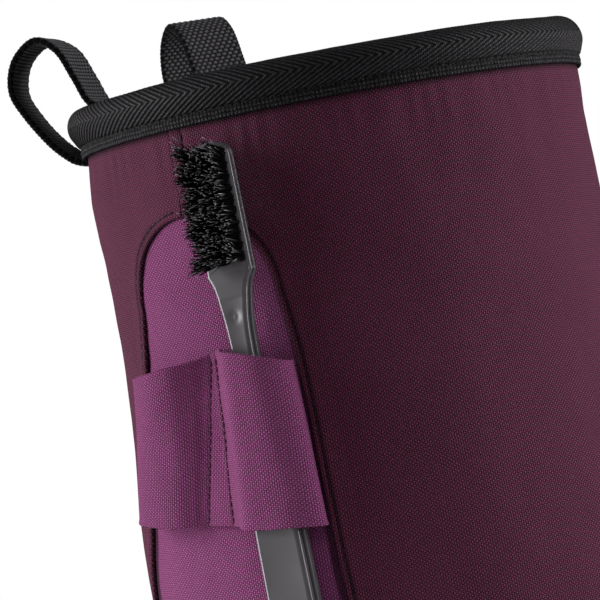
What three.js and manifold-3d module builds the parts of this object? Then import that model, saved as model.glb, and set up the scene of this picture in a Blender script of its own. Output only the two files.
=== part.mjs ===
// Climbing chalk bag with a bound rim, two webbing loops, and a brush in a holder on its side.
// Millimetres. +Z is up and the origin is at the centre of the base, on the surface it stands on.
// -Y is the front, +Y the side against the wearer, and -X the side with the brush holder.
// Angles are in degrees around +Z from +X, and sideAngle is the middle of the brush side.

import * as THREE from 'three';
import { mergeVertices } from 'three/addons/utils/BufferGeometryUtils.js';
import Module from 'manifold-3d';

// Sizes of the bag
const bagHeight = 164.2; // from the floor to the top of the rim
const mouthRadius = 62.3; // outside of the cloth just under the binding
const clothWall = 2; // outer cloth, foam and fleece sewn as one wall
const baseCorner = 6; // rounding where the wall turns into the base
const basePanelThickness = 2;
const seamGap = 0.3; // between pieces that are sewn or laid together
const sideAngle = 180;

// Sizes of the binding
const bindingHeight = 11.4; // from its lower edge to the top of the rim
const bindingRoll = 9.6; // thickness of the padded roll, inside to outside
const bindingBulge = 2.8; // how far the roll stands out past the cloth
const tapeThickness = 0.7;
const tapeOverlap = 2.5; // how far the wall reaches up into the binding

// Sizes of the webbing loops
const webbingWidth = 15;
const webbingThickness = 1.5;
const loopRise = 23; // from the top of the rim to the middle of the webbing at its peak
const loopReach = 16; // from the outside of the rim to the furthest part of the webbing
const loopTail = 13; // sewn length inside, below the binding's edge
const loopBackAngle = 88; // middle of the back, between the two loops
const loopSpread = 23.5; // from the middle of the back to each loop

// Sizes of the side panel, which is an arch set into the wall
const archDrop = 21; // from the binding's lower edge to the top of the arch
const archRise = 20; // height of the round part of the arch

// Sizes of the brush
const brushHeadDrop = 5.3; // from the binding's lower edge to the top of the brush
const brushFootClear = 10; // from the floor to the end of the handle
const brushAngle = 12.1; // from the middle of the side, at the head
const brushTwist = 2.5; // how much further round the foot of the handle lies
const brushSplay = 2; // how much further out the foot of the handle lies
const headLength = 31;
const headWidth = 12;
const headThickness = 3.6;
const neckWidth = 5.6;
const gripWidth = 11.6;
const gripThickness = 6.2;
const bristleLength = 8.2;
const bristleBacking = 0.8;
const bristleFieldWidth = 8.4;
const tuftRows = 3;
const tuftsInRow = 10;
const tuftRadius = 1.35;

// Sizes of the brush holder
const holderThickness = 1.6;
const holderTopDrop = 53.9; // from the binding's lower edge to the band's top edge, in the middle
const holderBandHeight = 41;
const openLoopDepth = 8.4; // how far the empty loop stands off the cloth

// The body's outline: height as a share of the wall, radius as a share of mouthRadius
const bodyProfile = [
  { height: 0, radius: 1.042 },
  { height: 0.1, radius: 1.058 },
  { height: 0.2, radius: 1.064 },
  { height: 0.3, radius: 1.066 },
  { height: 0.41, radius: 1.054 },
  { height: 0.52, radius: 1.026 },
  { height: 0.64, radius: 1.006 },
  { height: 0.76, radius: 1.001 },
  { height: 0.88, radius: 1.006 },
  { height: 0.95, radius: 1.004 },
  { height: 1, radius: 1 },
];

// Soft swells and puckers of the cloth: middle, half width and half height as a share of the
// wall, and how far they stand out as a share of clothWall
const bodyRelief = [
  { angle: 134, height: 0.93, halfAngle: 30, halfHeight: 0.12, swell: 0.42 },
  { angle: 214, height: 0.9, halfAngle: 16, halfHeight: 0.16, swell: 0.3 },
  { angle: 238, height: 0.95, halfAngle: 8, halfHeight: 0.14, swell: -0.28 },
  { angle: 254, height: 0.94, halfAngle: 8, halfHeight: 0.13, swell: 0.28 },
  { angle: 270, height: 0.95, halfAngle: 8, halfHeight: 0.15, swell: -0.3 },
  { angle: 285, height: 0.94, halfAngle: 8, halfHeight: 0.13, swell: 0.25 },
  { angle: 312, height: 0.92, halfAngle: 22, halfHeight: 0.16, swell: -0.5 },
  { angle: 20, height: 0.9, halfAngle: 18, halfHeight: 0.2, swell: 0.3 },
  { angle: 60, height: 0.5, halfAngle: 30, halfHeight: 0.3, swell: -0.3 },
  { angle: 300, height: 0.35, halfAngle: 34, halfHeight: 0.3, swell: 0.35 },
];

// Slow waves of the padded rim: middle and half width in degrees, and how far the roll rises and
// stands out there, as shares of bindingHeight and bindingBulge
const rimWaves = [
  { angle: 130, halfAngle: 34, rise: 0.06, bulge: 0.3 },
  { angle: 312, halfAngle: 38, rise: 0.11, bulge: -0.25 },
  { angle: 30, halfAngle: 40, rise: 0.05, bulge: 0.1 },
  { angle: 225, halfAngle: 40, rise: -0.03, bulge: 0 },
];

// The webbing loops: which way round from the middle of the back, how high and how far out they
// reach as shares of loopRise and loopReach, and how far their free part leans as a share of width
const webbingLoops = [
  { name: 'webbing_loop_brush_side', side: 1, rise: 0.96, reach: 1.06, lean: 0.12 },
  { name: 'webbing_loop_far_side', side: -1, rise: 1.03, reach: 1.12, lean: -0.03 },
];

// Edges of the side panel below the arch: height as a share of the wall, angles from sideAngle
const panelEdges = [
  { height: 0, towardBack: 44, towardFront: 26 },
  { height: 0.27, towardBack: 37, towardFront: 23.5 },
  { height: 0.4, towardBack: 30, towardFront: 22.9 },
  { height: 0.63, towardBack: 23.4, towardFront: 21.2 },
  { height: 0.73, towardBack: 20, towardFront: 19.4 },
];

// The handle from the head's end down: place as a share of the handle below the head, width
// between neck (0) and grip (1), and thickness between head (0) and grip (1)
const handleSections = [
  { along: 0.03, width: 0.6, thickness: 0.3 },
  { along: 0.075, width: 0.28, thickness: 0.5 },
  { along: 0.12, width: 0.08, thickness: 0.6 },
  { along: 0.18, width: 0, thickness: 0.62 },
  { along: 0.26, width: 0.07, thickness: 0.66 },
  { along: 0.38, width: 0.45, thickness: 0.8 },
  { along: 0.5, width: 0.83, thickness: 0.95 },
  { along: 0.6, width: 0.97, thickness: 1 },
  { along: 0.88, width: 1, thickness: 1 },
  { along: 0.95, width: 0.8, thickness: 0.9 },
  { along: 0.985, width: 0.4, thickness: 0.6 },
  { along: 1, width: -0.2, thickness: 0.1 },
];

// The holder's band from its back end to its front end. An end follows the panel's edge, which
// "from" names; other rows give their angle from sideAngle at the band's top and foot. The drops
// of its two edges are shares of holderBandHeight, and the lifts off the cloth are shares of the
// loop's depth.
const holderBand = [
  { from: 'back', top: 0.6, foot: 0.6, topDrop: 0.07, footDrop: 0.89, topLift: 0, footLift: 0 },
  { from: 'back', top: 1.4, foot: 3.2, topDrop: 0.07, footDrop: 0.9, topLift: 0.34, footLift: 0.36 },
  { from: 'middle', top: -17.9, foot: -21.6, topDrop: 0.06, footDrop: 0.92, topLift: 0.7, footLift: 0.68 },
  { from: 'middle', top: -12.5, foot: -15.2, topDrop: 0.05, footDrop: 0.95, topLift: 0.87, footLift: 0.64 },
  { from: 'middle', top: -7.5, foot: -10.9, topDrop: 0.04, footDrop: 0.97, topLift: 0.58, footLift: 0.3 },
  { from: 'middle', top: -3.7, foot: -8.6, topDrop: 0.03, footDrop: 0.975, topLift: 0.1, footLift: 0.05 },
  { from: 'middle', top: -0.6, foot: -7.2, topDrop: 0.01, footDrop: 0.98, topLift: 0, footLift: 0 },
  { from: 'middle', top: 1.4, foot: 0.5, topDrop: 0, footDrop: 1.01, topLift: 0, footLift: 0 },
  { from: 'brush', top: 3.4, foot: 3, topDrop: -0.01, footDrop: 1.02, topLift: 0.36, footLift: 0.36 },
  { from: 'brush', top: 6.6, foot: 6.8, topDrop: 0.01, footDrop: 1.04, topLift: 0.93, footLift: 0.93 },
  { from: 'brush', top: 11.5, foot: 12.2, topDrop: 0.035, footDrop: 1.055, topLift: 1.03, footLift: 1.03 },
  { from: 'front', top: 4, foot: 4.4, topDrop: 0.075, footDrop: 1.07, topLift: 1, footLift: 1 },
  { from: 'front', top: 0, foot: 0, topDrop: 0.125, footDrop: 1.09, topLift: 0.62, footLift: 0.62 },
  { from: 'front', top: 0.6, foot: 0.6, topDrop: 0.125, footDrop: 1.09, topLift: 0, footLift: 0 },
];

const wallTop = bagHeight - bindingHeight; // the binding's lower edge
const ringSegments = 48;

// Where the wall has its rows: degrees round the corner at the base, shares of the height below
// the arch, degrees over the arch, and shares of the height from the arch to the binding
const cornerRows = [0, 32, 62];
const lowerRows = [0, 0.17, 0.34, 0.52, 0.7, 0.86];
const archRows = [0, 18, 36, 53, 68, 80, 88];
const upperRows = [0.05, 0.4, 0.75, 1];
const panelColumns = 24;
const sideColumns = 9;
const loopSteps = 40;
const loopColumns = 3;
const holderSteps = 42;
const holderRows = 5;

const wasm = await Module();
wasm.setup();

const radians = THREE.MathUtils.degToRad;
const colours = {
  darkCloth: new THREE.MeshStandardMaterial({ color: 0x4a2438, roughness: 0.85 }),
  lightCloth: new THREE.MeshStandardMaterial({ color: 0x7d3a6b, roughness: 0.85 }),
  binding: new THREE.MeshStandardMaterial({ color: 0x26242a, roughness: 0.8 }),
  webbing: new THREE.MeshStandardMaterial({ color: 0x232127, roughness: 0.75 }),
  plastic: new THREE.MeshStandardMaterial({ color: 0x4a494d, roughness: 0.4 }),
  bristle: new THREE.MeshStandardMaterial({ color: 0x111013, roughness: 0.6 }),
};

// Value of one column of a table, straight between its rows
function fromTable(table, key, at, column) {
  if (at <= table[0][key]) return table[0][column];
  for (let i = 1; i < table.length; i++) {
    if (at <= table[i][key]) {
      const share = (at - table[i - 1][key]) / (table[i][key] - table[i - 1][key]);
      return THREE.MathUtils.lerp(table[i - 1][column], table[i][column], share);
    }
  }
  return table[table.length - 1][column];
}

// Point at a distance from the axis, an angle and a height
function polar(radius, angle, z) {
  return new THREE.Vector3(radius * Math.cos(radians(angle)), radius * Math.sin(radians(angle)), z);
}

// How far the cloth swells out of the plain body at an angle and a height
function swellAt(angle, z) {
  let total = 0;
  for (const soft of bodyRelief) {
    const turn = ((angle - soft.angle + 540) % 360) - 180;
    const across = turn / soft.halfAngle;
    const up = (z / wallTop - soft.height) / soft.halfHeight;
    const away = across * across + up * up;
    if (away < 1) total += soft.swell * clothWall * (1 - away) ** 2;
  }
  return total * (z > wallTop ? 0 : Math.min(1, (wallTop - z) / bindingHeight));
}

// Outside radius of the wall at an angle and a height
function bodyRadius(angle, z) {
  return mouthRadius * fromTable(bodyProfile, 'height', z / wallTop, 'radius') + swellAt(angle, z);
}

// Vertices and triangles of a geometry as a manifold solid
function toSolid(geometry) {
  const bare = geometry.index ? geometry.toNonIndexed() : geometry.clone();
  bare.deleteAttribute('normal');
  bare.deleteAttribute('uv');
  const merged = mergeVertices(bare, 1e-4);
  return new wasm.Manifold(new wasm.Mesh({
    numProp: 3,
    vertProperties: merged.attributes.position.array,
    triVerts: new Uint32Array(merged.index.array),
  }));
}

// A manifold solid as a geometry
function toGeometry(solid) {
  const mesh = solid.getMesh();
  const geometry = new THREE.BufferGeometry();
  geometry.setAttribute('position', new THREE.BufferAttribute(mesh.vertProperties, 3));
  geometry.setIndex(new THREE.BufferAttribute(mesh.triVerts, 1));
  geometry.computeVertexNormals();
  return geometry;
}

// Geometry of quads and triangles given as lists of point numbers
function fromFaces(points, faces) {
  const geometry = new THREE.BufferGeometry().setFromPoints(points);
  const index = [];
  for (const face of faces) {
    for (let i = 2; i < face.length; i++) index.push(face[0], face[i - 1], face[i]);
  }
  geometry.setIndex(index);
  geometry.computeVertexNormals();
  return geometry;
}

// A sheet with thickness, from two grids of points that face each other. Seen from the side of
// the outer grid, its rows run up and its columns run to the right.
function thickSheet(outer, inner) {
  const rows = outer.length;
  const columns = outer[0].length;
  const points = [...outer.flat(), ...inner.flat()];
  const out = (row, column) => row * columns + column;
  const into = (row, column) => rows * columns + row * columns + column;
  const faces = [];
  for (let row = 0; row + 1 < rows; row++) {
    for (let column = 0; column + 1 < columns; column++) {
      const next = [row + 1, column + 1];
      faces.push([out(row, column), out(row, next[1]), out(next[0], next[1]), out(next[0], column)]);
      faces.push([into(row, column), into(next[0], column), into(next[0], next[1]), into(row, next[1])]);
    }
    const last = columns - 1;
    faces.push([out(row, 0), out(row + 1, 0), into(row + 1, 0), into(row, 0)]);
    faces.push([out(row, last), into(row, last), into(row + 1, last), out(row + 1, last)]);
  }
  for (let column = 0; column + 1 < columns; column++) {
    const last = rows - 1;
    faces.push([out(0, column), into(0, column), into(0, column + 1), out(0, column + 1)]);
    faces.push([out(last, column), out(last, column + 1), into(last, column + 1), into(last, column)]);
  }
  return fromFaces(points, faces);
}

// A solid through closed outlines of equal length, with flat ends
function loft(outlines) {
  const sides = outlines[0].length;
  const points = outlines.flat();
  const faces = [];
  for (let ring = 0; ring + 1 < outlines.length; ring++) {
    for (let side = 0; side < sides; side++) {
      const next = (side + 1) % sides;
      const low = ring * sides;
      const high = low + sides;
      faces.push([low + side, low + next, high + next, high + side]);
    }
  }
  const first = [...Array(sides).keys()];
  faces.push([...first].reverse());
  faces.push(first.map((side) => (outlines.length - 1) * sides + side));
  return fromFaces(points, faces);
}

// A ring turned around the bag's axis from a closed profile of (radius, height) points
function turned(profile) {
  const closed = [...profile, profile[0]].map(([radius, z]) => new THREE.Vector2(radius, z));
  return new THREE.LatheGeometry(closed, ringSegments).rotateX(Math.PI / 2);
}

function named(name, geometry, material) {
  const mesh = new THREE.Mesh(geometry, material);
  mesh.name = name;
  return mesh;
}

// A side panel edge's angle from sideAngle at a height, below the arch
function panelEdge(side, z) {
  return fromTable(panelEdges, 'height', z / wallTop, side);
}

// Rows of the wall up to the arch, over the arch, and on to the binding. A row holds its height
// and how much of the side panel's width is left there; grow widens the panel's outline.
function wallRows(grow) {
  const spring = wallTop - archDrop - archRise;
  const rows = [];
  for (const share of lowerRows) rows.push({ z: baseCorner + (spring - baseCorner) * share, width: 1 });
  for (const degrees of archRows) {
    const turn = radians(degrees);
    rows.push({ z: spring + (archRise + grow) * Math.sin(turn), width: Math.cos(turn) });
  }
  return rows;
}

// One sewn panel of the wall. Its edges are functions of a row, in degrees.
function wallPanel(rows, leftEdge, rightEdge, columns) {
  const outer = [];
  const inner = [];
  for (const row of rows) {
    const left = leftEdge(row);
    const right = rightEdge(row);
    const outerRow = [];
    const innerRow = [];
    for (let column = 0; column <= columns; column++) {
      const angle = THREE.MathUtils.lerp(left, right, column / columns);
      const turn = radians(row.corner ?? 90);
      const middle = bodyRadius(angle, row.z) - baseCorner;
      const inside = baseCorner - clothWall;
      const drop = row.corner === undefined ? 0 : 1;
      const lift = drop * Math.cos(turn);
      outerRow.push(polar(middle + baseCorner * Math.sin(turn), angle, row.z - baseCorner * lift));
      innerRow.push(polar(middle + inside * Math.sin(turn), angle, row.z - inside * lift));
    }
    outer.push(outerRow);
    inner.push(innerRow);
  }
  return thickSheet(outer, inner);
}

// The three panels of the wall: the side panel, and the front and back panels around it
function wallPanels() {
  const half = THREE.MathUtils.radToDeg(seamGap / 2 / mouthRadius);
  const corner = cornerRows.map((degrees) => ({ z: baseCorner, width: 1, corner: degrees }));
  const edge = (side, row) => panelEdge(side, Math.min(row.z, wallTop - archDrop - archRise)) * row.width;
  const upper = upperRows.map((share) => ({
    z: THREE.MathUtils.lerp(wallTop - archDrop, wallTop, share) + seamGap,
    width: 0,
  }));
  const top = { z: wallTop + tapeOverlap, width: 0 };
  const aroundRows = [...corner, ...wallRows(seamGap / 2), ...upper, top];
  const sideRows = [...corner, ...wallRows(-seamGap / 2)];
  return {
    front: wallPanel(aroundRows, (row) => sideAngle + edge('towardFront', row) + half,
      () => sideAngle + 180 - half, panelColumns),
    back: wallPanel(aroundRows, () => sideAngle - 180 + half,
      (row) => sideAngle - edge('towardBack', row) - half, panelColumns),
    side: wallPanel(sideRows, (row) => sideAngle - edge('towardBack', row) + half * row.width,
      (row) => sideAngle + edge('towardFront', row) - half * row.width, sideColumns),
  };
}

// The round base, which lies inside the wall's turned-in lower edge
function basePanel() {
  const radius = bodyRadius(0, 0) - baseCorner - seamGap;
  const disc = new THREE.CylinderGeometry(radius, radius, basePanelThickness, ringSegments);
  return disc.rotateX(Math.PI / 2).translate(0, 0, basePanelThickness / 2);
}

// How much a column of rimWaves adds at an angle
function rimWave(angle, column) {
  let total = 0;
  for (const wave of rimWaves) {
    const turn = ((angle - wave.angle + 540) % 360) - 180;
    const away = (turn / wave.halfAngle) ** 2;
    if (away < 1) total += wave[column] * (1 - away) ** 2;
  }
  return total;
}

// The binding, with its slow waves in the roll and none where it holds the wall
function rimBinding() {
  const geometry = turned(bindingProfile());
  const position = geometry.getAttribute('position');
  const rollFrom = wallTop + tapeOverlap + seamGap;
  for (let i = 0; i < position.count; i++) {
    const x = position.getX(i);
    const y = position.getY(i);
    const z = position.getZ(i);
    const angle = THREE.MathUtils.radToDeg(Math.atan2(y, x));
    const share = Math.max(0, (z - rollFrom) / (bagHeight - rollFrom));
    const out = 1 + (share * bindingBulge * rimWave(angle, 'bulge')) / mouthRadius;
    position.setXYZ(i, x * out, y * out, z + share * bindingHeight * rimWave(angle, 'rise'));
  }
  return geometry;
}

// The padded tape around the mouth: two skirts that hold the wall, and the roll above them
function bindingProfile() {
  const skirtOut = mouthRadius + seamGap;
  const skirtIn = mouthRadius - clothWall - seamGap;
  const slotTop = wallTop + tapeOverlap + seamGap;
  const outer = mouthRadius + bindingBulge;
  const centre = outer - bindingRoll / 2;
  const rollHigh = bagHeight - bindingRoll * 0.52;
  const topCurve = [];
  const steps = 8;
  for (let step = 0; step <= steps; step++) {
    const turn = Math.PI * (step / steps);
    const rise = (bagHeight - rollHigh) * Math.sin(turn);
    topCurve.push([centre + (bindingRoll / 2) * Math.cos(turn), rollHigh + rise]);
  }
  return [
    [skirtOut, wallTop],
    [skirtOut + tapeThickness, wallTop],
    [skirtOut + tapeThickness * 0.8, wallTop + tapeOverlap],
    [outer - bindingBulge * 0.3, THREE.MathUtils.lerp(wallTop + tapeOverlap, rollHigh, 0.45)],
    ...topCurve,
    [centre - bindingRoll * 0.44, THREE.MathUtils.lerp(wallTop + tapeOverlap, rollHigh, 0.4)],
    [skirtIn - tapeThickness * 0.8, wallTop + tapeOverlap],
    [skirtIn - tapeThickness, wallTop],
    [skirtIn, wallTop],
    [skirtIn, slotTop],
    [skirtOut, slotTop],
  ];
}

// Middle of a webbing loop, as (radius, height): from under the binding's edge outside, up and
// over the rim, and down to its tail inside
function loopPath(angle, loop) {
  const half = webbingThickness / 2;
  const outer = mouthRadius + bindingBulge;
  const start = bodyRadius(angle, wallTop - webbingThickness) + seamGap + half * 0.8;
  const onInside = mouthRadius - clothWall - seamGap - half;
  const insideRoll = outer - bindingRoll - 2 * seamGap - half;
  const reach = loopReach * loop.reach;
  const rise = loopRise * loop.rise;
  const top = bagHeight;
  const onRoll = top + bindingHeight * 0.06 + seamGap + half;
  const topRadius = outer - bindingRoll / 2;
  const points = [
    [start, wallTop - half * 2],
    [outer + reach * 0.03, wallTop],
    [outer + reach * 0.23, wallTop + rise * 0.09],
    [outer + reach * 0.52, wallTop + rise * 0.31],
    [outer + reach * 0.84, wallTop + rise * 0.68],
    [outer + reach, top + rise * 0.48],
    [outer + reach * 0.86, top + rise * 0.82],
    [outer + reach * 0.48, top + rise],
    [outer + reach * 0.14, top + rise * 0.85],
    [topRadius + bindingRoll * 0.36, top + rise * 0.48],
    [topRadius + bindingRoll * 0.08, onRoll + rise * 0.1],
    [topRadius - bindingRoll * 0.3, onRoll - half * 0.4],
    [insideRoll, top - bindingRoll * 0.4],
    [insideRoll, wallTop + tapeOverlap + tapeThickness],
    [onInside - tapeThickness - half * 0.4, wallTop - half],
    [onInside - half * 0.2, wallTop - loopTail * 0.35],
    [onInside - half * 0.2, wallTop - loopTail],
  ];
  return points.map(([radius, z]) => new THREE.Vector3(radius, 0, z));
}

// One webbing loop, bent across its width to follow the rim
function webbingLoop(loop) {
  const angle = loopBackAngle + loop.side * loopSpread;
  const curve = new THREE.CatmullRomCurve3(loopPath(angle, loop), false, 'centripetal');
  const outer = [];
  const inner = [];
  for (let step = 0; step <= loopSteps; step++) {
    const at = curve.getPointAt(step / loopSteps);
    const along = curve.getTangentAt(step / loopSteps);
    const outward = new THREE.Vector2(along.z, -along.x).multiplyScalar(webbingThickness / 2);
    const free = THREE.MathUtils.smoothstep(at.x, mouthRadius + bindingBulge, mouthRadius + loopReach);
    const outerRow = [];
    const innerRow = [];
    for (let column = 0; column <= loopColumns; column++) {
      const offset = webbingWidth * (column / loopColumns - 0.5);
      const turn = angle + THREE.MathUtils.radToDeg(offset / at.x);
      const radius = at.x - offset * loop.lean * free;
      outerRow.push(polar(radius + outward.x, turn, at.z + outward.y));
      innerRow.push(polar(radius - outward.x, turn, at.z - outward.y));
    }
    outer.push(outerRow);
    inner.push(innerRow);
  }
  return thickSheet(outer, inner);
}

const brushTop = wallTop - brushHeadDrop;
const brushLength = brushTop - brushFootClear;

// How far round from sideAngle the brush lies at a height
function brushTurn(z) {
  return brushAngle + (brushTwist * (brushTop - z)) / brushLength;
}

// Radius of the brush's back, a straight line that rests on the fullest part of the cloth
function brushBack(z) {
  const steps = 24;
  let stand = 0;
  for (let step = 0; step <= steps; step++) {
    const height = brushFootClear + (brushLength * step) / steps;
    const line = (brushSplay * (brushTop - height)) / brushLength;
    stand = Math.max(stand, bodyRadius(sideAngle + brushTurn(height), height) - line);
  }
  return stand + 2 * seamGap + (brushSplay * (brushTop - z)) / brushLength;
}

// Frame of the brush: its long axis up the bag, its face outward, its width along the cloth
function brushFrame() {
  const top = polar(brushBack(brushTop), sideAngle + brushTurn(brushTop), brushTop);
  const foot = polar(brushBack(brushFootClear), sideAngle + brushTurn(brushFootClear), brushFootClear);
  const down = foot.clone().sub(top).normalize();
  const outward = polar(1, sideAngle + brushTurn(wallTop / 2), 0);
  outward.addScaledVector(down, -outward.dot(down)).normalize();
  const wide = new THREE.Vector3().crossVectors(outward, down);
  return { top, down, outward, wide, length: foot.distanceTo(top) };
}

// Outline across the brush: a flat face and back with rounded edges
function brushOutline(frame, along, width, thickness) {
  const corner = Math.min(width, thickness) * 0.34;
  const points = [];
  const corners = [[1, 1, 0], [-1, 1, 90], [-1, -1, 180], [1, -1, 270]];
  for (const [sideways, outward, start] of corners) {
    for (const turn of [0, 30, 60, 90]) {
      const angle = radians(start + turn);
      const x = sideways * (width / 2 - corner) + corner * Math.cos(angle);
      const y = outward * (thickness / 2 - corner) + corner * Math.sin(angle) + thickness / 2;
      points.push(frame.top.clone()
        .addScaledVector(frame.down, along)
        .addScaledVector(frame.wide, x)
        .addScaledVector(frame.outward, y));
    }
  }
  return points;
}

// The brush's handle, from the rounded end of its head to its foot
function brushHandle() {
  const frame = brushFrame();
  const nose = headWidth * 0.32;
  const sections = [
    { along: 0, width: headWidth * 0.5, thickness: headThickness * 0.7 },
    { along: nose * 0.14, width: headWidth * 0.74, thickness: headThickness * 0.92 },
    { along: nose * 0.5, width: headWidth * 0.93, thickness: headThickness },
    { along: nose, width: headWidth, thickness: headThickness },
    { along: headLength, width: headWidth, thickness: headThickness },
  ];
  const below = frame.length - headLength;
  for (const row of handleSections) {
    sections.push({
      along: headLength + below * row.along,
      width: THREE.MathUtils.lerp(neckWidth, gripWidth, row.width),
      thickness: THREE.MathUtils.lerp(headThickness, gripThickness, row.thickness),
    });
  }
  return loft(sections.map((row) => brushOutline(frame, row.along, row.width, row.thickness)));
}

// The bristles: rows of tufts on a thin backing that lies on the head
function bristles() {
  const frame = brushFrame();
  const margin = (headWidth - bristleFieldWidth) / 2;
  const fieldLength = headLength - 2 * margin;
  const backing = new THREE.BoxGeometry(bristleFieldWidth, bristleBacking, fieldLength);
  let solid = toSolid(backing.translate(0, bristleBacking / 2, margin + fieldLength / 2));
  const pitchAcross = (bristleFieldWidth - 2 * tuftRadius) / (tuftRows - 1);
  const pitchAlong = (fieldLength - 2 * tuftRadius) / (tuftsInRow - 1);
  const height = bristleLength - bristleBacking / 2;
  for (let row = 0; row < tuftRows; row++) {
    for (let place = 0; place < tuftsInRow; place++) {
      const tuft = new THREE.CylinderGeometry(tuftRadius, tuftRadius * 0.8, height, 6);
      tuft.translate(
        (row - (tuftRows - 1) / 2) * pitchAcross,
        bristleBacking / 2 + height / 2,
        margin + tuftRadius + place * pitchAlong,
      );
      solid = solid.add(toSolid(tuft));
    }
  }
  const place = new THREE.Matrix4().makeBasis(frame.wide, frame.outward, frame.down);
  const seat = frame.top.clone().addScaledVector(frame.outward, headThickness + seamGap);
  return toGeometry(solid).applyMatrix4(place.setPosition(seat));
}

// Middle of the holder's band at one station and one share of its height, 0 at its top edge
function holderPoint(station, down) {
  const drop = THREE.MathUtils.lerp(station.topDrop, station.footDrop, down);
  const z = wallTop - holderTopDrop - holderBandHeight * drop;
  const given = THREE.MathUtils.lerp(station.top, station.foot, down);
  let turn = given;
  if (station.from === 'back') turn = given - panelEdge('towardBack', z);
  if (station.from === 'front') turn = panelEdge('towardFront', z) - given;
  const angle = sideAngle + turn;
  const cloth = bodyRadius(angle, z);
  const overBrush = brushBack(z) + gripThickness - cloth + seamGap * 2;
  const open = station.from === 'back' || station.from === 'middle';
  const share = THREE.MathUtils.lerp(station.topLift, station.footLift, down);
  const lift = share * (open ? openLoopDepth : overBrush);
  return polar(cloth + seamGap + holderThickness / 2 + lift, angle, z);
}

// A point in the middle of the band, moved out to where the band lies on the wall if it is inside
function clearOfCloth(point) {
  const angle = THREE.MathUtils.radToDeg(Math.atan2(point.y, point.x));
  const least = bodyRadius(angle, point.z) + seamGap + holderThickness / 2;
  const radius = Math.hypot(point.x, point.y);
  return radius < least ? polar(least, angle, point.z) : point;
}

// The holder: one band of cloth, sewn down at its ends and in the middle, so that it makes two loops
function brushHolder() {
  const outer = [];
  const inner = [];
  for (let row = holderRows; row >= 0; row--) {
    const stations = holderBand.map((station) => holderPoint(station, row / holderRows));
    const curve = new THREE.CatmullRomCurve3(stations, false, 'centripetal');
    const rowOuter = [];
    const rowInner = [];
    for (let step = 0; step <= holderSteps; step++) {
      const at = clearOfCloth(curve.getPointAt(step / holderSteps));
      const along = curve.getTangentAt(step / holderSteps);
      const outward = new THREE.Vector3(along.y, -along.x, 0).normalize();
      rowOuter.push(at.clone().addScaledVector(outward, holderThickness / 2));
      rowInner.push(at.clone().addScaledVector(outward, -holderThickness / 2));
    }
    outer.push(rowOuter);
    inner.push(rowInner);
  }
  return thickSheet(outer, inner);
}

const bag = new THREE.Group();
const panels = wallPanels();
bag.add(named('front_panel', panels.front, colours.darkCloth));
bag.add(named('back_panel', panels.back, colours.darkCloth));
bag.add(named('side_panel', panels.side, colours.lightCloth));
bag.add(named('base_panel', basePanel(), colours.darkCloth));
bag.add(named('rim_binding', rimBinding(), colours.binding));
for (const loop of webbingLoops) bag.add(named(loop.name, webbingLoop(loop), colours.webbing));
bag.add(named('brush_holder', brushHolder(), colours.lightCloth));
bag.add(named('brush_handle', brushHandle(), colours.plastic));
bag.add(named('brush_bristles', bristles(), colours.bristle));

export default bag;
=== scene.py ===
"""Climbing chalk bag with a bound rim, two webbing loops and a brush in a holder on its side."""

import math
import random

import bmesh
import bpy
from mathutils import Matrix, Vector, noise


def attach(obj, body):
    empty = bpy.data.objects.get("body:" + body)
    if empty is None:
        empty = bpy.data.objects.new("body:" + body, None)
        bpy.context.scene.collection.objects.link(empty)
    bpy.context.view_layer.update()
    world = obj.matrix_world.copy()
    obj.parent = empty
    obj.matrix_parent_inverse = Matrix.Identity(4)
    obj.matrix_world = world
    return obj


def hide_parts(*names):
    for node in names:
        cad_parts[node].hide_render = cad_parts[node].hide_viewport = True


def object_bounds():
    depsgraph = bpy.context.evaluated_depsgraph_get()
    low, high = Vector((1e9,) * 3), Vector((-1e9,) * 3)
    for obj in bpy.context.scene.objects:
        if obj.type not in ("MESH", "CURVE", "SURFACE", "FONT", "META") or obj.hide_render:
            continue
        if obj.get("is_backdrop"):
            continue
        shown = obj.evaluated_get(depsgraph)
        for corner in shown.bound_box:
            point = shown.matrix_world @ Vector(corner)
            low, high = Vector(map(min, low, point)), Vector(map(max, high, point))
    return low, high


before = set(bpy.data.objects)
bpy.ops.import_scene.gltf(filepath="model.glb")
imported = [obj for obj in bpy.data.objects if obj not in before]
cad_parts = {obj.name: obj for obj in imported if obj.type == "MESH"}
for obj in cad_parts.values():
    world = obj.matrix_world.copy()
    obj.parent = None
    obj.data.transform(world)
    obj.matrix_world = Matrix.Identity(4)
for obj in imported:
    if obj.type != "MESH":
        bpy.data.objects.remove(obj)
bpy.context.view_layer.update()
shaken = random.Random(7)

# Front and back of the wall. Each is one piece of dark plum plain-woven polyester that was turned
# under along the side patch and topstitched there, and sewn to the other at the back of the bag.
MM = 0.001
MOUTH_RADIUS = 62.3
WALL_TOP = 152.8
BASE_CORNER = 6.0
SPRING = 111.8
ARCH = 20.0
APEX = SPRING + ARCH
CLOTH = 0.5
HEM_STITCH = 1.9
SEAM_STITCH = 3.9
UV_DEGREE = 1.1
BODY_PROFILE = (
    (0, 1.042), (0.1, 1.058), (0.2, 1.064), (0.3, 1.066), (0.41, 1.054), (0.52, 1.026),
    (0.64, 1.006), (0.76, 1.001), (0.88, 1.006), (0.95, 1.004), (1, 1.0),
)
SWELLS = (
    (134, 0.93, 30, 0.12, 0.42), (214, 0.9, 16, 0.16, 0.3), (238, 0.95, 8, 0.14, -0.28),
    (254, 0.94, 8, 0.13, 0.28), (270, 0.95, 8, 0.15, -0.3), (285, 0.94, 8, 0.13, 0.25),
    (312, 0.92, 22, 0.16, -0.5), (20, 0.9, 18, 0.2, 0.3), (60, 0.5, 30, 0.3, -0.3),
    (300, 0.35, 34, 0.3, 0.35),
)
BACK_EDGE = ((0, 44), (0.27, 37), (0.4, 30), (0.63, 23.4), (0.73, 20))
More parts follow.
